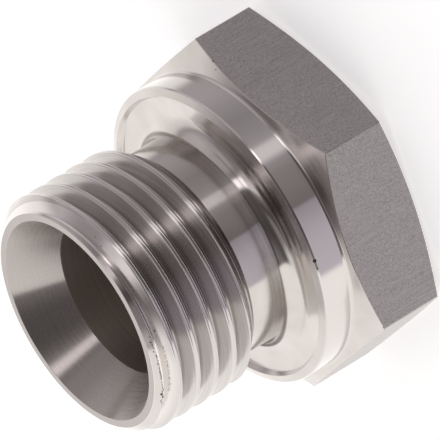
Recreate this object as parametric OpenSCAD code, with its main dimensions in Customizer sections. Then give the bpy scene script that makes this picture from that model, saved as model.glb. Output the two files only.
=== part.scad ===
// Hydraulic blanking plug: hexagon head, sealing collar, pipe thread and 60 degree cone mouth.
// One turned piece of stainless steel. Millimetres. It stands on the hexagon end, +Z runs up the axis
// to the open mouth, and the origin is the centre of the flat end face.

/* [Head] */
// Width of the hexagon across its flats
across_flats = 27; // [26.6:0.05:27.2]
// Diameter of the flat circle left on the hexagon's end face
end_face_d = 25.3; // [24.4:0.1:26.2]
// Slope of the chamfer at the end face, from the face plane
end_chamfer_angle = 17; // [12:1:24]
// Slope of the chamfer on the collar side of the hexagon, from the face plane
front_chamfer_angle = 23; // [17:1:30]
// Height at which that chamfer runs into the collar
collar_base = 7.45; // [7:0.05:7.8]

/* [Collar and neck] */
// Diameter of the round sealing collar
collar_d = 26; // [25.6:0.1:26.4]
// Height of the collar's sealing face above the end face
collar_top = 10.1; // [9.7:0.1:10.4]
// Small bevel on the collar's outer edge
collar_bevel = 0.15; // [0.1:0.05:0.3]
// Diameter of the relieved neck behind the thread
neck_d = 18; // [17.6:0.1:18.3]
// Radius of the fillet between neck and sealing face
neck_fillet = 0.8; // [0.5:0.1:1.1]
// Height at which the bevel at the rear of the thread leaves the neck
neck_top = 14.1; // [13.7:0.1:14.4]

/* [Thread] */
// Major diameter of the half inch parallel pipe thread
thread_major_d = 20.955; // [20.7:0.005:20.955]
// Pitch, 14 threads to the inch
thread_pitch = 1.814; // [1.8:0.002:1.83]
// Depth from crest to root
thread_depth = 1.162; // [1.1:0.002:1.18]
// Height of the first full crest on the +X side, which sets where the thread starts
crest_height = 15.07; // [14.8:0.01:15.2]
// Overall length from end face to mouth
plug_length = 24.4; // [24:0.1:24.8]
// Diameter of the mouth plane at the nose bevel
nose_d = 18.7; // [18.5:0.1:18.9]

/* [Mouth and bore] */
// Diameter of the cone where it meets the mouth plane
cone_mouth_d = 17.48; // [17.2:0.02:17.8]
// Full angle of the sealing cone
cone_angle = 60; // [58:1:62]
// Diameter of the blind bore
bore_d = 13.15; // [12.8:0.05:13.6]
// Depth of the bore's straight wall below the mouth plane
bore_depth = 14; // [12.5:0.5:15]
// Full angle of the drill point at the bottom of the bore
drill_point_angle = 118; // [110:2:130]

/* [Hidden] */
$fn = 96;
// Flats to corners on a regular hexagon
corner_r = across_flats / sqrt(3);
collar_r = collar_d / 2;
neck_r = neck_d / 2;
// The blank that the chamfers are turned from is a little wider than the corners
blank_r = corner_r + 1;
blank_low = (blank_r - end_face_d / 2) * tan(end_chamfer_angle);
blank_high = collar_base - (blank_r - collar_r) * tan(front_chamfer_angle);
// The mouth cone reaches the bore here
cone_depth = (cone_mouth_d - bore_d) / 2 / tan(cone_angle / 2);
point_depth = bore_d / 2 / tan(drill_point_angle / 2);
// Depth that the collar profile and the thread sleeve sit inside the metal they join
overlap = 0.4;
// Room outside the crests in which the two end bevels are drawn
bevel_room = 0.13;
bevel_r = thread_major_d / 2 + bevel_room;
// The 55 degree pipe thread: rounded crest and root, drawn here with two short slopes each
round_r = 0.1373 * thread_pitch;
round_half = round_r * sin(62.5);
round_rise = round_r * (1 - cos(62.5));
flat_half = 0.35 * round_r;
// Steps round one turn, and turns of thread that are cut down to length afterwards
turn_steps = 48;
sleeve_turns = 8;
sleeve_low = crest_height - 2 * thread_pitch;
sleeve_r = neck_r - overlap;

// Part to show, or all of them

// One pitch of the thread, from a crest to the next: [height, depth below the crest]
thread_profile = [
    [0 - flat_half, 0],
    [flat_half, 0],
    [round_half, round_rise],
    [thread_pitch / 2 - round_half, thread_depth - round_rise],
    [thread_pitch / 2 - flat_half, thread_depth],
    [thread_pitch / 2 + flat_half, thread_depth],
    [thread_pitch / 2 + round_half, thread_depth - round_rise],
    [thread_pitch - round_half, round_rise],
];
per_pitch = len(thread_profile);
columns = per_pitch * sleeve_turns;

// A point on the thread's skin: i counts round the turn, j counts up the profile
function skin(i, j) =
    let (p = thread_profile[j % per_pitch])
    let (z = sleeve_low + p[0] + thread_pitch * (floor(j / per_pitch) + i / turn_steps))
    let (r = thread_major_d / 2 - p[1])
    [r * cos(360 * i / turn_steps), r * sin(360 * i / turn_steps), z];

// A point on the sleeve's inner wall at the height of that skin point
function inside(i, j) =
    let (z = skin(i, j)[2])
    [sleeve_r * cos(360 * i / turn_steps), sleeve_r * sin(360 * i / turn_steps), z];

// After a full turn the skin meets itself one pitch further up
function skin_index(i, j) =
    (i < turn_steps) ? i * (columns + 1) + j : j + per_pitch;
// Points that the last step round needs above the first step's column
extra = turn_steps * (columns + 1);
function top_index(i, j) =
    (i == turn_steps && j + per_pitch > columns) ? extra + j + per_pitch - columns - 1 : skin_index(i, j);
low_inside = extra + per_pitch;
high_inside = low_inside + turn_steps + 1;

// The threaded sleeve: one closed skin that follows the right-hand helix
module thread_sleeve() {
    points = concat(
        [for (i = [0:turn_steps - 1]) for (j = [0:columns]) skin(i, j)],
        [for (j = [1:per_pitch]) skin(turn_steps, columns - per_pitch + j)],
        [for (i = [0:turn_steps]) inside(i, 0)],
        [for (i = [0:turn_steps]) inside(i, columns)]
    );
    last = turn_steps - 1;
    outer = [for (i = [0:last]) for (j = [0:columns - 1]) each [
        [top_index(i, j), top_index(i, j + 1), top_index(i + 1, j + 1)],
        [top_index(i, j), top_index(i + 1, j + 1), top_index(i + 1, j)]
    ]];
    low_cap = [for (i = [0:last]) each [
        [top_index(i, 0), top_index(i + 1, 0), low_inside + i + 1],
        [top_index(i, 0), low_inside + i + 1, low_inside + i]
    ]];
    high_cap = [for (i = [0:last]) each [
        [top_index(i, columns), high_inside + i, high_inside + i + 1],
        [top_index(i, columns), high_inside + i + 1, top_index(i + 1, columns)]
    ]];
    wall = [for (i = [1:last - 1]) each [
        [low_inside + i, low_inside + i + 1, high_inside + i + 1],
        [low_inside + i, high_inside + i + 1, high_inside + i]
    ]];
    // The wall beside the step, where the two ends of a turn share one upright line
    wall_first = [
        [low_inside, low_inside + 1, low_inside + turn_steps],
        [low_inside + turn_steps, low_inside + 1, high_inside + 1],
        [low_inside + turn_steps, high_inside + 1, high_inside]
    ];
    wall_last = [
        [low_inside + last, low_inside + turn_steps, high_inside + last],
        [low_inside + turn_steps, high_inside, high_inside + last],
        [high_inside, high_inside + turn_steps, high_inside + last]
    ];
    // The two step faces, each one pitch high, on the +X side
    low_step = concat(
        [for (j = [0:per_pitch - 1]) [low_inside, skin_index(0, j + 1), skin_index(0, j)]],
        [[low_inside, low_inside + turn_steps, skin_index(0, per_pitch)]]
    );
    high_step = concat(
        [for (j = [columns - per_pitch:columns - 1]) [
            high_inside + turn_steps, top_index(turn_steps, j), top_index(turn_steps, j + 1)
        ]],
        [[high_inside + turn_steps, high_inside, skin_index(0, columns)]]
    );
    polyhedron(
        points = points,
        faces = concat(outer, low_cap, high_cap, wall, wall_first, wall_last, low_step, high_step),
        convexity = 12
    );
}

// What the two end bevels leave of the sleeve
module thread_limits() {
    rotate_extrude()
        polygon([
            [sleeve_r - overlap, neck_top - 2 * overlap],
            [neck_r - overlap, neck_top - overlap],
            [bevel_r, neck_top + bevel_r - neck_r],
            [bevel_r, plug_length - bevel_r + nose_d / 2],
            [nose_d / 2, plug_length],
            [sleeve_r - overlap, plug_length]
        ]);
}

// The hexagon with a chamfer turned on both ends
module head() {
    intersection() {
        cylinder(h = collar_base, r = corner_r, $fn = 6);
        rotate_extrude()
            polygon([
                [0, 0],
                [end_face_d / 2, 0],
                [blank_r, blank_low],
                [blank_r, blank_high],
                [collar_r, collar_base],
                [0, collar_base]
            ]);
    }
}

// Collar, fillet and the core that carries the thread
module core() {
    rotate_extrude()
        difference() {
            polygon([
                [0, collar_base - overlap],
                [collar_r, collar_base - overlap],
                [collar_r, collar_top - collar_bevel],
                [collar_r - collar_bevel, collar_top],
                [neck_r + neck_fillet, collar_top],
                [neck_r + neck_fillet, collar_top + neck_fillet],
                [neck_r, collar_top + neck_fillet],
                [neck_r, plug_length],
                [0, plug_length]
            ]);
            translate([neck_r + neck_fillet, collar_top + neck_fillet])
                circle(r = neck_fillet);
        }
}

// The 60 degree cone, the blind bore and its drill point
module bore() {
    rotate_extrude()
        polygon([
            [0, plug_length - bore_depth - point_depth],
            [bore_d / 2, plug_length - bore_depth],
            [bore_d / 2, plug_length - cone_depth],
            [cone_mouth_d / 2, plug_length],
            [cone_mouth_d / 2 + overlap * tan(cone_angle / 2), plug_length + overlap],
            [0, plug_length + overlap]
        ]);
}

module plug_body() {
    color([0.72, 0.71, 0.69])
        difference() {
            union() {
                head();
                core();
                intersection() {
                    thread_sleeve();
                    thread_limits();
                }
            }
            bore();
        }
}

plug_body();
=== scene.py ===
# %% [markdown]
# # A hydraulic blanking plug, turned and dressed in Blender
# The real thing closes a half inch hydraulic port. It is one piece of stainless steel, cut on a
# lathe from cold-drawn hexagon bar: a hexagon for the spanner, a collar that presses on a seal, a
# relieved neck, a pipe thread, and a hollow nose with a cone. This lesson loads the plain solid
# that CAD made, and builds a finer skin over it with rounded edges, a smooth thread, tool marks
# and burrs.

# %% Load the plain solid
import math
import random

import bmesh
import bpy
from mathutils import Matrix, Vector


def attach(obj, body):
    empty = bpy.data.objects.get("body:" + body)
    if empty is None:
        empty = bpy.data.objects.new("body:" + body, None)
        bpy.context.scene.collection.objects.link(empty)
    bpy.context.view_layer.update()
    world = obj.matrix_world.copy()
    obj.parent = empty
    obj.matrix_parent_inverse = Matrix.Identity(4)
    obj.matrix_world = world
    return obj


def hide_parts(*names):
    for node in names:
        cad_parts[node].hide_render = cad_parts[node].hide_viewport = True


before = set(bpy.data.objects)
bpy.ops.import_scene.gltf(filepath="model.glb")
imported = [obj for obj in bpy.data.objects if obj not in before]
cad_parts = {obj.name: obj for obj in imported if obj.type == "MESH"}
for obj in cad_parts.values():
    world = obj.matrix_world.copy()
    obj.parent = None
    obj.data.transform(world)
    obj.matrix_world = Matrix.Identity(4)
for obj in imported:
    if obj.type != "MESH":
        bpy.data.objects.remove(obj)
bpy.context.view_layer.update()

# %% [markdown]
# ## The camera
# The photograph was taken with a long lens from about 0.8 m, and the plug lay tilted in it. Here
# the plug stands on its hexagon, so the camera is rolled instead. Its place and turn come from
# lining up the hexagon's corners, the mouth and the thread with the picture. The steps below count
# directions round the plug from the camera's side, which is at the angle called front.

# %% Camera
scene = bpy.context.scene
camera_data = bpy.data.cameras.new("camera")
camera_data.sensor_width = 36.0
camera_data.lens = 836.487
camera_data.clip_start = 0.05
camera_data.clip_end = 20.0
camera = bpy.data.objects.new("camera", camera_data)
camera.location = (-0.30797, 0.644329, 0.366378)
camera.rotation_euler = [math.radians(angle) for angle in (-45.844, 50.0559, 62.1311)]
scene.collection.objects.link(camera)
scene.camera = camera
scene.view_settings.view_transform = "Standard"
front = 115.55
print("camera is", round(camera.location.length, 3), "m from the plug")

# %% [markdown]
# ## Sizes
# Every size is in millimetres, as on the drawing, and one function turns it into Blender's metres.
# The heights count from the hexagon's flat end face, which stands on the floor. A name that ends
# in _r is a distance from the axis.

# %% Sizes in millimetres
across_flats = 27.0
half_flats = across_flats / 2
corner_r = across_flats / math.sqrt(3)
bar_rounding, rim_break = 0.14, 0.05
end_face_r = 12.65
end_angle, front_angle = 17, 23
end_slope = math.tan(math.radians(end_angle))
front_slope = math.tan(math.radians(front_angle))
collar_r, collar_low, collar_top = 13.0, 7.45, 10.28
recess, recess_r, seal_r, ring_drop = 9.7, 12.04, 12.3, 0.31
neck_r, neck_fillet, neck_top = 9.0, 1.4, 14.1
flare_top, flare_low, flare_rise = 12.0, 10.95, 0.0786
major_r, pitch, thread_depth = 20.955 / 2, 1.814, 1.162
flank_angle = 27.5
crest_height = 15.07
plug_length = 24.4
nose_r, cone_mouth_r, bore_r = 9.35, 8.74, 6.575
cone_slope = math.tan(math.radians(30))
cone_low = plug_length - (cone_mouth_r - bore_r) / cone_slope
bore_depth, drill_angle = 14.0, 118


def mm(*values):
    """Millimetres in metres: one number, or a tuple of them."""
    return values[0] / 1000 if len(values) == 1 else tuple(value / 1000 for value in values)


print("hexagon corners at", round(corner_r, 3), "mm from the axis")

# %% [markdown]
# ## Helpers for working in edit mode
# Blender's mesh operators act on what is selected, so each step first clears the selection and
# then picks vertices, edges or faces by their place. These small functions are used by every piece
# below.

# %% Helpers for selecting
def clear_selection():
    if bpy.context.object and bpy.context.object.mode != "OBJECT":
        bpy.ops.object.mode_set(mode="OBJECT")
    bpy.ops.object.select_all(action="DESELECT")


def only(piece):
    """Selects one object and makes it the active one."""
    clear_selection()
    piece.select_set(True)
    bpy.context.view_layer.objects.active = piece


def pick(piece, kind, test):
    """In edit mode, selects the VERT, EDGE or FACE elements that pass the test, and no others."""
    bpy.ops.mesh.select_mode(type=kind)
    bpy.ops.mesh.select_all(action="DESELECT")
    mesh = bmesh.from_edit_mesh(piece.data)
    group = {"VERT": mesh.verts, "EDGE": mesh.edges, "FACE": mesh.faces}[kind]
    chosen = [element for element in group if test(element)]
    for element in chosen:
        element.select_set(True)
    mesh.select_flush_mode()
    bmesh.update_edit_mesh(piece.data)
    return len(chosen)


# %% [markdown]
# Two more helpers work on whole objects. A modifier does nothing to the mesh until it is applied,
# and a Boolean modifier needs a second object that is thrown away afterwards.

# %% Helpers for whole objects
def apply_all(piece):
    only(piece)
    for modifier in list(piece.modifiers):
        bpy.ops.object.modifier_apply(modifier=modifier.name)


def combine(piece, other, operation):
    """Keeps or cuts away what both solids share. The other solid is used up."""
    boolean = piece.modifiers.new("boolean", "BOOLEAN")
    boolean.operation = operation
    boolean.solver = "EXACT"
    boolean.object = other
    apply_all(piece)
    bpy.data.objects.remove(other, do_unlink=True)


def join(pieces, target):
    only(target)
    for piece in pieces:
        piece.select_set(True)
    bpy.ops.object.join()


def triangles(piece):
    return sum(len(face.vertices) - 2 for face in piece.data.polygons)


print("helpers for objects ready")

# %% [markdown]
# ## The turned blank
# A lathe makes a solid of revolution. The same shape can be spun from a profile, or built ring by
# ring: a circle is extruded upwards and scaled to the next radius, again and again. The rings are
# used here because each one is a line on the drawing, and a rounded edge is just a few more rings.

# %% Round a corner of the profile
def rounded(points, radius, steps, support):
    """Rounds the middle one of three profile points. A support above 0 adds one more point that
    far beyond each end of the arc, which keeps the shading of the rounding off its neighbours."""
    before, middle, after = (Vector(point) for point in points)
    to_before, to_after = (before - middle).normalized(), (after - middle).normalized()
    half = to_before.angle(to_after) / 2
    reach = radius / math.tan(half)
    centre = middle + (to_before + to_after).normalized() * radius / math.sin(half)
    start, end = middle + to_before * reach - centre, middle + to_after * reach - centre
    turn = start.angle_signed(end)
    arc = []
    for step in range(steps + 1):
        angle = -turn * step / steps
        spun = Vector((start.x * math.cos(angle) - start.y * math.sin(angle),
                       start.x * math.sin(angle) + start.y * math.cos(angle)))
        arc.append(tuple(centre + spun))
    if support:
        arc.insert(0, tuple(middle + to_before * (reach + support)))
        arc.append(tuple(middle + to_after * (reach + support)))
    return arc


example = rounded(((1, 0), (0, 0), (0, 1)), 0.3, 4, 0.03)
print("a square corner becomes", len(example), "points")

# %% [markdown]
# The neck is not a plain cylinder. Towards the collar it flares by less than a tenth of a
# millimetre, in a curve that grows with the square of the distance. That is enough to bend the
# reflections as they bend in the photograph.

# %% Flare of the neck
flare_steps = 6
flare = []
for step in range(1, flare_steps + 1):
    share = step / flare_steps
    flare.append((neck_r + flare_rise * share ** 2, flare_top + (flare_low - flare_top) * share, 0))
flare_slope = 2 * flare_rise / (flare_top - flare_low)
neck_foot = flare[-1][0] + flare_slope * (flare_low - recess)
print("the neck would meet the recess", round(neck_foot, 3), "mm from the axis")

# %% [markdown]
# The profile is a list of sharp corners, each with its radius, its height and its rounding. It
# climbs from the rim of the end face over the chamfers, the collar and the neck to the nose, and
# comes down the cone into the bore. The blank is wider than the bar and the thread, so that both
# can be cut from it. The collar's front is sunk behind a narrow sealing edge, and a ring outside
# that edge slopes down to a tiny chamfer.

# %% Profile of the blank
blank_r = corner_r + 1.0
bevel_r = major_r + 0.13
ring_top = collar_top - ring_drop
sharp = [
    (end_face_r, 0.0, 0),
    (blank_r, (blank_r - end_face_r) * end_slope, 0),
    (blank_r, collar_low - (blank_r - collar_r) * front_slope, 0),
    (collar_r, collar_low, 0.28),
    (collar_r, ring_top - 0.07, 0.02),
    (collar_r - 0.065, ring_top + 0.08, 0.02),
    (seal_r, collar_top, 0.04),
    (recess_r, recess + 0.12, 0.12),
    (neck_foot, recess, neck_fillet),
    *reversed(flare),
    (neck_r, flare_top, 0),
    (neck_r, neck_top, 0.12),
    (bevel_r, neck_top + bevel_r - neck_r, 0),
    (bevel_r, plug_length - bevel_r + nose_r, 0),
    (nose_r, plug_length, 0.07),
    (cone_mouth_r, plug_length, 0.05),
    (bore_r, cone_low, 0.06),
    (bore_r, plug_length - bore_depth, 0.3),
]
tip = (0.0, plug_length - bore_depth - bore_r / math.tan(math.radians(drill_angle / 2)))
print("sharp corners:", len(sharp), "tip of the drill at", round(tip[1], 2), "mm")

# %% [markdown]
# Most roundings are hair-thin breaks of an edge, which get a few rings and a support on each side.
# The fillet of the neck is large, so it gets more rings and needs no support.

# %% Round the profile
large_rounding = 0.5
profile = []
for index, (radius, height, rounding) in enumerate(sharp):
    if rounding:
        after = sharp[index + 1][:2] if index + 1 < len(sharp) else tip
        steps, support = (12, 0) if rounding > large_rounding else (4, 0.03)
        profile += rounded((sharp[index - 1][:2], (radius, height), after), rounding, steps,
                           support)
    else:
        profile.append((radius, height))
print("rings in the profile:", len(profile))

# %% [markdown]
# Each ring has 240 points, so the long curved edges where the flats meet the chamfer stay smooth.
# The last step runs to the tip of the drill's cone, which closes the bottom of the bore.

# %% Build the blank ring by ring
around = 240
clear_selection()
bpy.ops.mesh.primitive_circle_add(vertices=around, radius=mm(profile[0][0]), fill_type="NGON",
                                  location=(0, 0, 0))
plug = bpy.context.object
plug.name = "plug_skin"
bpy.ops.object.mode_set(mode="EDIT")
bpy.ops.mesh.select_mode(type="EDGE")
bpy.ops.mesh.select_all(action="SELECT")
radius, height = profile[0]
for next_radius, next_height in profile[1:]:
    bpy.ops.mesh.extrude_edges_move(
        TRANSFORM_OT_translate={"value": (0, 0, mm(next_height - height))})
    scale = next_radius / radius
    if abs(scale - 1) > 1e-9:
        bpy.ops.transform.resize(value=(scale, scale, 1), center_override=(0, 0, mm(next_height)))
    radius, height = next_radius, next_height
bpy.ops.mesh.extrude_edges_move(TRANSFORM_OT_translate={"value": (0, 0, mm(tip[1] - height))})
bpy.ops.mesh.merge(type="CENTER")
bpy.ops.mesh.select_all(action="SELECT")
bpy.ops.mesh.normals_make_consistent(inside=False)
bpy.ops.object.mode_set(mode="OBJECT")
print("blank:", triangles(plug), "triangles")

# %% [markdown]
# ## The hexagon
# The bar was a hexagon before the lathe turned it, and the chamfers are what the turning left of
# its corners. In Blender it is easier the other way round: six planes slice the flats off the round
# blank, and each cut is closed with one flat face. The curved edge where a flat meets a chamfer
# then comes by itself.

# %% Slice the six flats
only(plug)
bpy.ops.object.mode_set(mode="EDIT")
for number in range(6):
    angle = math.radians(30 + 60 * number)
    normal = (math.cos(angle), math.sin(angle), 0)
    place = tuple(mm(half_flats * value) for value in normal)
    bpy.ops.mesh.select_all(action="SELECT")
    bpy.ops.mesh.bisect(plane_co=place, plane_no=normal, use_fill=True, clear_outer=True,
                        threshold=1e-7)


def is_flat(face):
    """True on the hexagon's flats: upright, large, and half the width across flats away."""
    middle = face.calc_center_median()
    away = middle.x * face.normal.x + middle.y * face.normal.y
    upright = abs(face.normal.z) < 0.01
    return upright and abs(away - mm(half_flats)) < 1e-6 and face.calc_area() > 1e-5


flats = pick(plug, "FACE", is_flat)
print("flats found:", flats)

# %% [markdown]
# No real edge is perfectly sharp. The bar's six long corners were rounded when it was drawn, and
# the tool leaves a hair of a bevel where it cuts into a flat. The Bevel operator makes both, and
# the light that these narrow faces catch is what makes the metal look solid. The edges round a
# flat's rim are short, which tells them from the long corners.

# %% Break the hexagon's edges
bar_edges = pick(plug, "EDGE", lambda edge: all(is_flat(face) for face in edge.link_faces))
bpy.ops.mesh.bevel(offset=mm(bar_rounding), segments=3, profile=0.5, affect="EDGES",
                   clamp_overlap=True)


def is_rim(edge):
    climb = abs(edge.verts[0].co.z - edge.verts[1].co.z)
    return sum(is_flat(face) for face in edge.link_faces) == 1 and climb < mm(1)


rim_edges = pick(plug, "EDGE", is_rim)
bpy.ops.mesh.bevel(offset=mm(rim_break), segments=2, profile=0.5, affect="EDGES",
                   clamp_overlap=True)
bpy.ops.object.mode_set(mode="OBJECT")
print("edges of the bar rounded:", bar_edges)
print("edges broken:", rim_edges)

# %% [markdown]
# ## The pipe thread
# A thread is one profile that climbs as it turns. The Screw modifier does exactly that: a line of
# vertices is swept round the axis and rises by the pitch in one turn. The line is as long as the
# whole thread, so after a turn the surface meets itself one pitch higher, and merging the doubles
# closes it. The flanks are 55 degrees apart and the root is round. Each crest is a shallow dip
# between two lips, because a thread tool pushes a little metal up at both sides of the crest: in
# the photograph they are the two thin bright lines.

# %% Thread profile
root_r, root_steps = 0.175, 5
crest_half = 0.196
flank_slope = math.tan(math.radians(flank_angle))


def flank_at(depth):
    """A point of the flank, as depth below the crest and distance from the crest's middle."""
    return (depth, crest_half + depth * flank_slope)


rear_lip = [flank_at(1.0), flank_at(0.19), flank_at(0.14), (0.085, 0.247), (0.05, 0.226),
            (0.026, 0.198), (0.010, 0.163), (0.002, 0.130), (0.0, 0.105), (0.004, 0.085)]
front_lip = [(0.042, 0.055), (0.036, 0.078), (0.020, 0.130), (0.010, 0.165), (0.009, 0.188),
             (0.020, 0.208), (0.05, 0.228), (0.10, 0.252), flank_at(0.17), flank_at(0.21),
             flank_at(1.0)]


def thread_points(count):
    """Profile points (radius, height) over that many pitches, from a crest upwards."""
    points = []
    for turn in range(count):
        base = turn * pitch
        points += [(major_r - depth, base - height) for depth, height in rear_lip]
        points += [(major_r - depth, base + height) for depth, height in front_lip]
        for step in range(root_steps, -root_steps - 1, -1):
            slope = math.radians(90 - flank_angle) * step / root_steps
            points.append((major_r - thread_depth + root_r * (1 - math.cos(slope)),
                           base + pitch / 2 - root_r * math.sin(slope)))
    return points


line = thread_points(8)
thread_low = crest_height - 2 * pitch
print("points in the thread's profile:", len(line))

# %% [markdown]
# The line starts as one vertex. A new plane merged to its centre gives that vertex, and extruding
# it from point to point draws the profile, all with the same operators that a hand would use in
# edit mode.

# %% Sweep the thread
clear_selection()
bpy.ops.mesh.primitive_plane_add(size=mm(1), location=(0, 0, 0))
thread = bpy.context.object
thread.name = "thread_tool"
bpy.ops.object.mode_set(mode="EDIT")
bpy.ops.mesh.select_mode(type="VERT")
bpy.ops.mesh.select_all(action="SELECT")
bpy.ops.mesh.merge(type="CENTER")
bpy.ops.transform.translate(value=mm(line[0][0], 0, thread_low + line[0][1]))
for (radius, height), (next_radius, next_height) in zip(line, line[1:]):
    bpy.ops.mesh.extrude_vertices_move(
        TRANSFORM_OT_translate={"value": mm(next_radius - radius, 0, next_height - height)})
bpy.ops.object.mode_set(mode="OBJECT")
screw = thread.modifiers.new("screw", "SCREW")
screw.axis = "Z"
screw.angle = math.radians(360)
screw.screw_offset = mm(pitch)
screw.iterations = 1
screw.steps = screw.render_steps = 256
screw.use_merge_vertices = False
apply_all(thread)
bpy.ops.object.mode_set(mode="EDIT")
bpy.ops.mesh.select_all(action="SELECT")
bpy.ops.mesh.remove_doubles(threshold=2e-7)
print("thread surface:", triangles(thread), "triangles")

# %% [markdown]
# The surface is then cut square at both ends. From its lower end a wide skirt is drawn down below
# the floor, which makes a solid that is wider than the plug under the thread.

# %% Close the thread into a solid
low_cut, high_cut = neck_top + 0.12, plug_length + 0.35
skirt_widening, skirt_below = 2.2, 2
bpy.ops.mesh.bisect(plane_co=mm(0, 0, low_cut), plane_no=(0, 0, 1), clear_inner=True,
                    threshold=1e-8)
bpy.ops.mesh.select_all(action="SELECT")
bpy.ops.mesh.bisect(plane_co=mm(0, 0, high_cut), plane_no=(0, 0, 1), clear_outer=True,
                    use_fill=True, threshold=1e-8)
low_edges = pick(thread, "EDGE", lambda edge: edge.is_boundary)
bpy.ops.mesh.extrude_edges_move(TRANSFORM_OT_translate={"value": (0, 0, 0)})
bpy.ops.transform.resize(value=(skirt_widening, skirt_widening, 1),
                         center_override=mm(0, 0, low_cut))
bpy.ops.mesh.extrude_edges_move(
    TRANSFORM_OT_translate={"value": mm(0, 0, -low_cut - skirt_below)})
bpy.ops.mesh.edge_face_add()
bpy.ops.mesh.select_all(action="SELECT")
bpy.ops.mesh.normals_make_consistent(inside=False)
bpy.ops.object.mode_set(mode="OBJECT")
print("edges round the lower cut:", low_edges)

# %% [markdown]
# What the blank and this solid have in common is the finished plug, so the two end bevels of the
# thread are cut by the blank's own slopes, as they are on the lathe. The Boolean modifier set to
# Intersect keeps only what both share. The exact solver is slower, but it leaves a closed surface
# even where two faces nearly touch.

# %% Cut the thread on the plug
combine(plug, thread, "INTERSECT")
print("plug with its thread:", triangles(plug), "triangles")

# %% [markdown]
# ## Torn metal
# Where the thread runs out on the nose bevel its edge is thin, and the tool has torn it: the
# photograph shows a ragged line with two dark holes there, and a small nick in the collar's
# corner. The holes and nicks are small balls taken out of the plug. Each has a direction in degrees
# from the camera's side, a radius, a height and a size.

# %% Pits and nicks
def spot(turn, radius, height):
    """A place in metres, with its direction counted in degrees from the camera's side."""
    angle = math.radians(front + turn)
    return (radius * math.cos(angle) / 1000, radius * math.sin(angle) / 1000, height / 1000)


torn_edge = [(-57, 9.84, 23.98, 0.16), (-62, 9.87, 23.93, 0.15), (-24, 9.62, 24.0, 0.12),
             (-26.5, 9.64, 24.08, 0.08), (-22, 9.54, 24.02, 0.07)]
collar_corner = [(-25, 12.95, 9.96, 0.16), (-28, 12.98, 9.95, 0.07)]
nose_bevel = [(24, 9.75, 23.62, 0.06), (29, 9.95, 23.55, 0.06)]
upper_flat = [(55, 14.45, 6.83, 0.10), (53, 13.95, 7.1, 0.08), (52, 14.16, 5.7, 0.05),
              (48, 13.9, 5.5, 0.05), (44, 13.7, 5.4, 0.05)]
pits = torn_edge + collar_corner + nose_bevel + upper_flat
balls = []
for turn, radius, height, size in pits:
    bpy.ops.mesh.primitive_ico_sphere_add(subdivisions=2, radius=mm(size),
                                          location=spot(turn, radius, height))
    balls.append(bpy.context.object)
join(balls, balls[-1])
combine(plug, balls[-1], "DIFFERENCE")
print("plug with", len(pits), "pits:", triangles(plug), "triangles")

# %% [markdown]
# ## Shading
# Smooth shading bends the light over the facets, but it must stop at real edges. Edges sharper
# than 42 degrees stay sharp. First the doubles and slivers that the Booleans left are removed, and
# an open edge would show here as a number above 0.

# %% Clean up and shade
only(plug)
bpy.ops.object.mode_set(mode="EDIT")
bpy.ops.mesh.select_all(action="SELECT")
bpy.ops.mesh.remove_doubles(threshold=5e-7)
bpy.ops.mesh.dissolve_degenerate(threshold=1e-7)
open_edges = pick(plug, "EDGE", lambda edge: not edge.is_manifold)
bpy.ops.object.mode_set(mode="OBJECT")
bpy.ops.object.shade_smooth_by_angle(angle=math.radians(42))
print("open edges:", open_edges)

# %% [markdown]
# The rim of the chamfer is marked sharp as well, because its wide faces would otherwise borrow the
# light of the narrow bevel beside them. The Weighted Normal modifier does the rest: big faces keep
# their own direction, and the small faces of each rounding take up the turn.

# %% Hold the shading of wide faces
chamfer_up = math.cos(math.radians(front_angle))


def is_chamfer(face):
    """True on the turned chamfer that meets the flats."""
    below_collar = face.calc_center_median().z < mm(collar_low)
    return abs(face.normal.z - chamfer_up) < 0.01 and below_collar


def is_chamfer_rim(edge):
    folded = edge.calc_face_angle(0) > math.radians(10)
    return sum(is_chamfer(face) for face in edge.link_faces) == 1 and folded


bpy.ops.object.mode_set(mode="EDIT")
rims = pick(plug, "EDGE", is_chamfer_rim)
bpy.ops.mesh.mark_sharp()
bpy.ops.object.mode_set(mode="OBJECT")
print("sharp edges round the chamfer:", rims)
weighted = plug.modifiers.new("weighted", "WEIGHTED_NORMAL")
weighted.mode = "FACE_AREA"
weighted.keep_sharp = True
apply_all(plug)
print("size, mm:", [round(value * 1000, 3) for value in plug.dimensions])

# %% [markdown]
# ## Colours and nodes
# A colour is easiest to think of as the code that a paint program shows, but the shader wants it
# linear, so one function turns one into the other. A second function adds a node, sets its options
# and joins its inputs, which keeps the materials below short enough to read.

# %% Colour and node helpers
def linear(code):
    """A colour code such as #808080 in linear light, by the sRGB curve."""
    parts = [int(code[i:i + 2], 16) / 255 for i in (1, 3, 5)]
    return [part / 12.92 if part <= 0.04045 else ((part + 0.055) / 1.055) ** 2.4
            for part in parts] + [1.0]


def add(tree, kind, inputs=None, **options):
    """Adds a node. Inputs are given by name or number, as a value or another node's output."""
    node = tree.nodes.new("ShaderNode" + kind)
    for option, value in options.items():
        setattr(node, option, value)
    for key, value in (inputs or {}).items():
        if isinstance(value, bpy.types.NodeSocket):
            tree.links.new(value, node.inputs[key])
        else:
            node.inputs[key].default_value = value
    return node


def mix_colors(tree, amount, under, over):
    return add(tree, "Mix", {"Factor": amount, "A": under, "B": over},
               data_type="RGBA").outputs["Result"]


def times(tree, first, second):
    return add(tree, "Math", {0: first, 1: second}, operation="MULTIPLY").outputs[0]


def blank_material(name):
    material = bpy.data.materials.new(name)
    material.use_nodes = True
    return material, material.node_tree, material.node_tree.nodes["Principled BSDF"]


print("mid grey in linear light:", round(linear("#808080")[0], 3))

# %% [markdown]
# ## Marks of the lathe
# The whole plug is one stainless steel, but each tool left its own skin. On a lathe the tool leaves
# rings, so the noise for turned metal changes only with the path of the tool: the distance from
# the axis plus the height.

# %% Places and noise
def place_of(tree):
    return add(tree, "TexCoord").outputs["Object"]


def height_of(tree):
    return add(tree, "SeparateXYZ", {0: place_of(tree)}).outputs["Z"]


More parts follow.
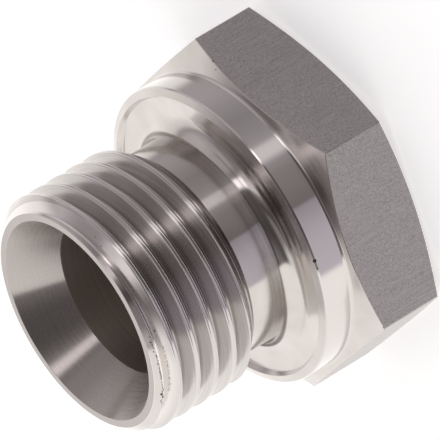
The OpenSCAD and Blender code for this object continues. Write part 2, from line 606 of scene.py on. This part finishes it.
def distance_from_axis(tree):
    flat = add(tree, "VectorMath", {0: place_of(tree), 1: (1, 1, 0)},
               operation="MULTIPLY").outputs["Vector"]
    return add(tree, "VectorMath", {0: flat}, operation="LENGTH").outputs["Value"]


def lathe_marks(tree, spacing):
    """Noise along the tool's path only, so it draws rings round the axis. Spacing in mm."""
    path = add(tree, "Math", {0: distance_from_axis(tree), 1: height_of(tree)},
               operation="ADD").outputs[0]
    return add(tree, "TexNoise", {"W": path, "Scale": 1000 / spacing, "Detail": 3.0,
                                  "Roughness": 0.7}, noise_dimensions="1D").outputs["Fac"]


def cloud_of(tree, scale, detail, **inputs):
    """Plain noise, equal in all directions. The scale is in cells per metre."""
    return add(tree, "TexNoise", {"Vector": place_of(tree), "Scale": scale, "Detail": detail,
                                  **inputs}).outputs["Fac"]


print("helpers for noise ready")

# %% [markdown]
# ## Finishes
# Turned metal spreads a reflection across its rings and not along them. The Anisotropic value does
# this, and its Rotation is a quarter turn because Blender spreads along the tangent, which here
# runs round the axis. A finish is then a colour, a roughness and a height for the bump.

# %% Parts of a finish
def spread(tree, source, low, high):
    """Stretches the middle of a noise to a range of values."""
    return add(tree, "MapRange", {"Value": source, "From Min": 0.3, "From Max": 0.7,
                                  "To Min": low, "To Max": high}).outputs["Result"]


def fade(tree, value, begin, full):
    """Rises from 0 to 1 between two sizes in millimetres."""
    return add(tree, "MapRange", {"Value": value, "From Min": mm(begin),
                                  "From Max": mm(full)}).outputs["Result"]


def tint(tree, source, first, second):
    """A colour that a noise picks between two colour codes."""
    return mix_colors(tree, spread(tree, source, 0, 1), linear(first), linear(second))


def metal(name, anisotropy=0.0):
    material, tree, shader = blank_material(name)
    shader.inputs["Metallic"].default_value = 1.0
    if anisotropy:
        shader.inputs["Anisotropic"].default_value = anisotropy
        shader.inputs["Anisotropic Rotation"].default_value = 0.25
        tangent = add(tree, "Tangent", direction_type="RADIAL", axis="Z")
        tree.links.new(tangent.outputs[0], shader.inputs["Tangent"])
    return material, tree, shader


def finish(tree, shader, color, roughness, height, depth):
    """Joins a finish to the shader. The depth of the bump is in millimetres."""
    tree.links.new(color, shader.inputs["Base Color"])
    tree.links.new(roughness, shader.inputs["Roughness"])
    bump = add(tree, "Bump", {"Height": height, "Strength": 1.0, "Distance": depth / 1000})
    tree.links.new(bump.outputs[0], shader.inputs["Normal"])


def tell(material, spacing):
    print(material.name, "- marks", spacing, "mm apart,", len(material.node_tree.nodes), "nodes")


print("helpers for finishes ready")

# %% [markdown]
# The neck, the collar and the chamfers were finished with a light cut and still mirror the room.
# The side of the collar is painted a little lighter, a painted sheen, so the colour changes with
# radius and height.

# %% Bright turned steel
bright, tree, shader = metal("bright_turned_stainless_steel", anisotropy=0.7)
marks = lathe_marks(tree, 0.12)
# Painted sheen: the side of the collar is painted lighter, #CDC9C6.
collar_side_painted_sheen = fade(tree, distance_from_axis(tree), collar_r - 0.15, collar_r - 0.03)
above = fade(tree, height_of(tree), collar_low - 0.15, collar_low + 0.15)
turned = tint(tree, cloud_of(tree, 400, 4.0), "#C0BBB7", "#C9C4C1")
color = mix_colors(tree, times(tree, collar_side_painted_sheen, above), turned, linear("#CDC9C6"))
finish(tree, shader, color, spread(tree, marks, 0.10, 0.16), marks, 0.0005)
tell(bright, 0.12)

# %% [markdown]
# The thread is cut with a formed tool in several passes. Its flanks are duller than the neck, the
# root is painted darker as painted shade, and the crests are rubbed bright by handling. All three
# depend only on the radius. The first ridge below the nose is painted lighter up to the land at the
# mouth, a painted highlight: that depends on the height.

# %% Cut thread
threaded, tree, shader = metal("cut_thread_stainless_steel", anisotropy=0.6)
marks = lathe_marks(tree, 0.09)
# Painted shade: the root of the thread is painted darker, #A8A29F, fading out between 9.3 and 9.65
# mm from the axis.
painted_root_shade_fade = fade(tree, distance_from_axis(tree), 9.3, 9.65)
worn = fade(tree, distance_from_axis(tree), 10.43, 10.46)
# Painted highlight: the first ridge below the nose is painted lighter, #DFDBD8, up to the land at
# the mouth.
first_ridge_painted_light = fade(tree, height_of(tree), 22.8, 23.3)
below_land = fade(tree, height_of(tree), plug_length - 0.005, plug_length - 0.03)
color = mix_colors(tree, painted_root_shade_fade, linear("#A8A29F"), tint(tree, marks, "#BFBBB8", "#CCC8C6"))
color = mix_colors(tree, times(tree, first_ridge_painted_light, below_land), color, linear("#DFDBD8"))
roughness = add(tree, "Mix", {"Factor": worn, "A": spread(tree, marks, 0.14, 0.22),
                              "B": 0.12}).outputs["Result"]
finish(tree, shader, color, roughness, marks, 0.0008)
tell(threaded, 0.09)

# %% [markdown]
# No tool has touched the flats: they are the skin of the bar, pulled through a die. It is a fine
# grey grain, and in some patches there are scratches along the bar. Noise stretched along Z gives
# the scratches, plain noise gives the grain, and a third, large noise chooses between them.

# %% Cold-drawn flats
drawn, tree, shader = metal("cold_drawn_stainless_steel")
stretched = add(tree, "Mapping", {"Vector": place_of(tree), "Scale": (1, 1, 0.05)}).outputs[0]
scratches = add(tree, "TexNoise", {"Vector": stretched, "Scale": 7500, "Detail": 3.0,
                                   "Roughness": 0.6}).outputs["Fac"]
grain = cloud_of(tree, 6500, 3.0, Roughness=0.9)
share = add(tree, "MapRange", {"Value": cloud_of(tree, 260, 2.0), "From Min": 0.42,
                               "From Max": 0.62, "To Min": 0.0, "To Max": 0.35}).outputs["Result"]
skin = add(tree, "Mix", {"Factor": share, "A": grain, "B": scratches}).outputs["Result"]
finish(tree, shader, tint(tree, skin, "#8E8A87", "#C9C5C3"), spread(tree, grain, 0.33, 0.47),
       skin, 0.03)
tell(drawn, 0.15)

# %% [markdown]
# The cone is the seat of the joint and was finished with a reamer. It is even and satin, so its
# reflections are soft bars that run towards the bore.

# %% Reamed cone
reamed, tree, shader = metal("reamed_cone_stainless_steel", anisotropy=1.0)
marks = lathe_marks(tree, 0.16)
finish(tree, shader, tint(tree, marks, "#B2ACA8", "#BBB6B2"), spread(tree, marks, 0.24, 0.31),
       marks, 0.0006)
tell(reamed, 0.16)

# %% [markdown]
# The bore was only drilled. The wall is rough and looks dark because little light gets in.

# %% Drilled bore
drilled, tree, shader = metal("drilled_bore_stainless_steel", anisotropy=0.5)
marks = lathe_marks(tree, 0.25)
finish(tree, shader, tint(tree, marks, "#AFA69E", "#BDB5AD"), spread(tree, marks, 0.42, 0.52),
       marks, 0.002)
tell(drilled, 0.25)

# %% [markdown]
# Torn metal has no tool finish at all. It is uneven, and its darker colour is painted shade. It is
# used in the pits and on some grains of the burr.

# %% Torn metal
torn_painted_shade, tree, shader = metal("torn_steel_painted_shade")
cloud = cloud_of(tree, 5000, 3.0)
finish(tree, shader, tint(tree, cloud, "#5E5956", "#8E8884"), spread(tree, cloud, 0.3, 0.5),
       cloud, 0.01)
tell(torn_painted_shade, 0.2)

# %% [markdown]
# Which face gets which finish follows from where it is and which way it looks, as on the drawing.
# One function answers that for any face, so nothing has to be picked by hand. A face belongs to a
# pit only if all its corners lie in the ball that cut it, because the long faces beside a pit have
# one corner in it as well. The bevel of the nose leans by 45 degrees and is as bright as the neck.

# %% Give each face its finish
pit_places = [(Vector(spot(turn, radius, height)) * 1000, size)
              for turn, radius, height, size in pits]
bevel_up = math.sqrt(0.5)


def in_a_pit(face):
    return any(all((vertex.co * 1000 - place).length < size + 0.002 for vertex in face.verts)
               for place, size in pit_places)


def finish_of(face):
    middle, up = face.calc_center_median() * 1000, face.normal.z
    radius, height = math.hypot(middle.x, middle.y), middle.z
    below_land = height < plug_length - 0.05
    if in_a_pit(face):
        # Faces in a pit get the torn metal, whose darker colour is painted shade.
        return torn_painted_shade
    if abs(up) < 0.05 and height < collar_low - 0.45 and radius > collar_r + 0.2:
        return drawn
    if radius < bore_r + 0.03 and height < cone_low + 0.01:
        return drilled
    if radius < cone_mouth_r - 0.01 and height > cone_low - 0.15:
        return reamed
    if abs(up - bevel_up) < 0.01 and height > plug_length - 1.2 and below_land:
        return bright
    if height > neck_top and radius > neck_r + 0.1 or not below_land:
        return threaded
    return bright


finishes = [bright, threaded, drawn, reamed, drilled, torn_painted_shade]
plug.data.materials.clear()
for material in finishes:
    plug.data.materials.append(material)
only(plug)
bpy.ops.object.mode_set(mode="EDIT")
for index, material in enumerate(finishes):
    found = pick(plug, "FACE", lambda face: finish_of(face) == material)
    plug.active_material_index = index
    bpy.ops.object.material_slot_assign()
    print(material.name, "on", found, "faces")
bpy.ops.object.mode_set(mode="OBJECT")

# %% [markdown]
# The burr is a row of tiny uneven grains: stretched icospheres set along the torn edge. Their sizes
# and turns come from a random generator with a fixed seed, so the lesson gives the same burr each
# time. They sink into the plug and are joined to it at the end.

# %% Grains of the burr
chance = random.Random(5)
grains_per_stretch, bright_share = 5, 0.55
edge_line = [(-23, 9.60, 24.02), (-29, 9.68, 24.07), (-34, 9.72, 24.03), (-39, 9.76, 24.01),
             (-45, 9.80, 23.98), (-51, 9.84, 23.96), (-57, 9.87, 23.94), (-64, 9.90, 23.90)]
grains = []
for begin, end in zip(edge_line, edge_line[1:]):
    for step in range(grains_per_stretch):
        share = (step + chance.random()) / grains_per_stretch
        turn, radius, height = (first + (second - first) * share
                                for first, second in zip(begin, end))
        place = spot(turn, radius + chance.uniform(-0.05, 0.03),
                     height + chance.uniform(-0.05, 0.03))
        length, width = chance.uniform(0.10, 0.24), chance.uniform(0.04, 0.08)
        bpy.ops.mesh.primitive_ico_sphere_add(
            subdivisions=1, radius=mm(1), location=place, scale=(width, length, width * 0.8),
            rotation=(chance.uniform(-0.2, 0.2), chance.uniform(-0.5, 0.5),
                      math.radians(front + turn)))
        grain = bpy.context.object
        # Grains that miss the bright finish get the torn metal, whose darker colour is painted
        # shade.
        grain.data.materials.append(bright if chance.random() < bright_share else torn_painted_shade)
        grains.append(grain)
join(grains, plug)
print("grains of torn metal:", len(grains), "plug:", triangles(plug), "triangles")

# %% [markdown]
# ## Floor
# The plug stands on a white sheet. A little light of its own keeps the sheet white up to the edge
# of the picture. In the photograph the plug lay on its side and its neck mirrored the room in both
# directions. Here the sheet would fill half of what the neck sees, so mirror rays pass through it,
# and it blocks none of the room's light.

# %% Floor
clear_selection()
bpy.ops.mesh.primitive_plane_add(size=6.0, location=(0, 0, 0))
floor = bpy.context.object
floor.name = "studio_floor"
floor.visible_glossy = False
floor.visible_shadow = False
paper, tree, shader = blank_material("white_paper_sweep")
floor.data.materials.append(paper)
shader.inputs["Base Color"].default_value = (0.95, 0.95, 0.95, 1)
shader.inputs["Roughness"].default_value = 1.0
shader.inputs["Specular IOR Level"].default_value = 0.0
shader.inputs["Emission Color"].default_value = (1, 1, 1, 1)
shader.inputs["Emission Strength"].default_value = 0.42
print("floor:", [round(value, 2) for value in floor.dimensions], "m")

# %% [markdown]
# ## Studio
# Polished steel has hardly any colour of its own: what we see is the room. The room is painted on
# the world as bands of light, and a shader cell needs only the direction it looks in. The dot
# product of that direction with a fixed one says how close the two are, and a smooth step turns it
# into a soft border.

# %% Directions in the room
def aim(azimuth, height):
    """Unit vector to a place in the room, with the azimuth counted from the camera's side."""
    turn, rise = math.radians(front + azimuth), math.radians(height)
    return (math.cos(rise) * math.cos(turn), math.cos(rise) * math.sin(turn), math.sin(rise))


def toward(tree, way, azimuth, height):
    return add(tree, "VectorMath", {0: way, 1: aim(azimuth, height)},
               operation="DOT_PRODUCT").outputs["Value"]


def step_between(tree, value, begin, full):
    return add(tree, "MapRange", {"Value": value, "From Min": begin, "From Max": full},
               interpolation_type="SMOOTHSTEP").outputs["Result"]


print("the camera's side is", [round(value, 3) for value in aim(0, 0)])

# %% [markdown]
# A band across the room is a colour ramp over one of those dot products. The levels are
# brightness, where 1 is plain white, and the tints are the faint warm, grey and lavender casts that
# the photograph shows. A ramp holds no level above 1, so each level is divided by the strength of
# the world's light.

# %% Bands of light
LAVENDER, GREY, DARK, LIGHT = (1, 0.93, 1.04), (1, 0.935, 0.97), (1, 0.91, 0.91), (1, 0.98, 0.965)
studio_strength = 3.0


def plain(level, color):
    return [level * part / studio_strength for part in color] + [1]


def strip(tree, value, stops):
    """Bands of light: each stop is a place from -1 to 1, a light level, and its tint."""
    share = add(tree, "MapRange", {"Value": value, "From Min": -1.0}).outputs[0]
    ramp = add(tree, "ValToRGB", {"Fac": share})
    elements = ramp.color_ramp.elements
    while len(elements) < len(stops):
        elements.new(0.5)
    for element, (place, level, color) in zip(elements, stops):
        element.position = (place + 1) / 2
        element.color = plain(level, color)
    return ramp.outputs["Color"]


print("tints ready, the brightest level is", studio_strength)

# %% [markdown]
# The levels come from reading the metal as a mirror. For each height in the room there is one ramp
# from the left to the right, as an upright camera would see them: the ground, a low wall, a dark
# line at eye level, a high wall and the roof. Each has the narrow bright strip of the lamp that
# draws the glint down the plug.

# %% Paint the five bands
world = bpy.data.worlds.new("studio")
scene.world = world
world.use_nodes = True
tree = world.node_tree
way = add(tree, "TexCoord").outputs["Generated"]
across = toward(tree, way, 110.1, 2)
up = toward(tree, way, 0, 90)
ground = strip(tree, across, [
    (-0.86, 0.60, LAVENDER), (-0.72, 0.50, LAVENDER), (-0.54, 0.38, LAVENDER), (-0.40, 0.25, DARK),
    (-0.08, 0.24, DARK), (0.06, 0.45, GREY), (0.13, 1.5, GREY), (0.22, 1.5, GREY),
    (0.30, 0.5, GREY), (0.5, 0.38, GREY), (0.86, 0.50, GREY)])
low = strip(tree, across, [
    (-0.86, 0.72, LAVENDER), (-0.72, 0.64, LAVENDER), (-0.54, 0.47, LAVENDER),
    (-0.482, 0.44, LAVENDER), (-0.470, 0.20, DARK), (-0.44, 0.24, DARK), (-0.25, 0.30, DARK),
    (-0.08, 0.33, DARK), (0.06, 0.42, GREY), (0.13, 0.86, GREY), (0.25, 0.86, GREY),
    (0.30, 0.46, GREY), (0.41, 0.40, GREY), (0.62, 0.34, GREY), (0.76, 0.42, GREY),
    (0.86, 0.52, GREY)])
skyline = strip(tree, across, [
    (-0.90, 0.05, DARK), (-0.05, 0.06, DARK), (0.06, 0.12, DARK), (0.13, 0.8, GREY),
    (0.26, 0.8, GREY), (0.33, 0.42, GREY), (0.55, 0.50, GREY), (0.75, 0.66, GREY),
    (0.90, 0.75, GREY)])
high = strip(tree, across, [
    (-0.90, 0.26, GREY), (-0.76, 0.15, DARK), (-0.66, 0.11, DARK), (-0.56, 0.10, DARK),
    (-0.40, 0.115, DARK), (-0.20, 0.13, DARK), (-0.05, 0.14, DARK), (0.09, 0.2, GREY),
    (0.165, 1.9, GREY), (0.28, 1.9, GREY), (0.33, 0.42, GREY), (0.40, 0.34, GREY),
    (0.50, 0.50, GREY), (0.62, 0.54, GREY), (0.76, 0.56, GREY), (0.90, 0.70, GREY)])
roof = strip(tree, across, [
    (-0.7, 0.38, GREY), (-0.30, 0.32, GREY), (-0.22, 0.12, DARK), (-0.13, 0.10, DARK),
    (-0.03, 0.22, DARK), (0.04, 0.36, GREY), (0.10, 0.95, GREY), (0.20, 0.95, GREY),
    (0.25, 0.72, GREY), (0.32, 0.66, GREY), (0.37, 0.30, GREY), (0.8, 0.32, GREY)])
print("nodes for the five bands:", len(tree.nodes))

# %% [markdown]
# The bands are stacked by height. Then larger areas are laid over them: a dark bar at half height
# on the camera's side, light from straight below where the white sheet would be, a bright wall
# behind the plug that grows brighter towards its middle, and a bright wall at the left with a glow
# above it.

# %% Stack the bands and light the room
tone = ground
for band, begin, full in [(low, -0.62, -0.50), (skyline, -0.205, -0.155), (high, -0.08, -0.02),
                          (roof, 0.68, 0.84)]:
    tone = mix_colors(tree, step_between(tree, up, begin, full), tone, band)
bar = times(tree, step_between(tree, up, 0.36, 0.41), step_between(tree, up, 0.54, 0.49))
bar = times(tree, bar, step_between(tree, toward(tree, way, 22, 20), 0.60, 0.72))
bar = times(tree, bar, 0.4)
below = step_between(tree, toward(tree, way, 0, -90), 0.80, 0.92)
behind = toward(tree, way, 180, -4)
left = toward(tree, way, -110.9, 3.9)
glow = times(tree, step_between(tree, left, 0.30, 0.56), step_between(tree, up, 0.72, 0.9))
for amount, level, color in [
        (bar, 0.06, DARK),
        (below, 1.4, LIGHT),
        (step_between(tree, behind, 0.28, 0.5), 0.5, GREY),
        (step_between(tree, behind, 0.44, 0.64), 1.05, LIGHT),
        (step_between(tree, behind, 0.64, 0.88), 1.33, LIGHT),
        (glow, 1.2, LIGHT),
        (step_between(tree, left, 0.54, 0.60), 1.3, LIGHT)]:
    tone = mix_colors(tree, amount, tone, plain(level, color))
background = tree.nodes["Background"]
tree.links.new(tone, background.inputs["Color"])
background.inputs["Strength"].default_value = studio_strength
print("nodes in the studio:", len(tree.nodes))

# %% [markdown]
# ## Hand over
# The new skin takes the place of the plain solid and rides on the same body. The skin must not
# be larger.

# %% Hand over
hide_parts("plug_body")
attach(plug, "root")
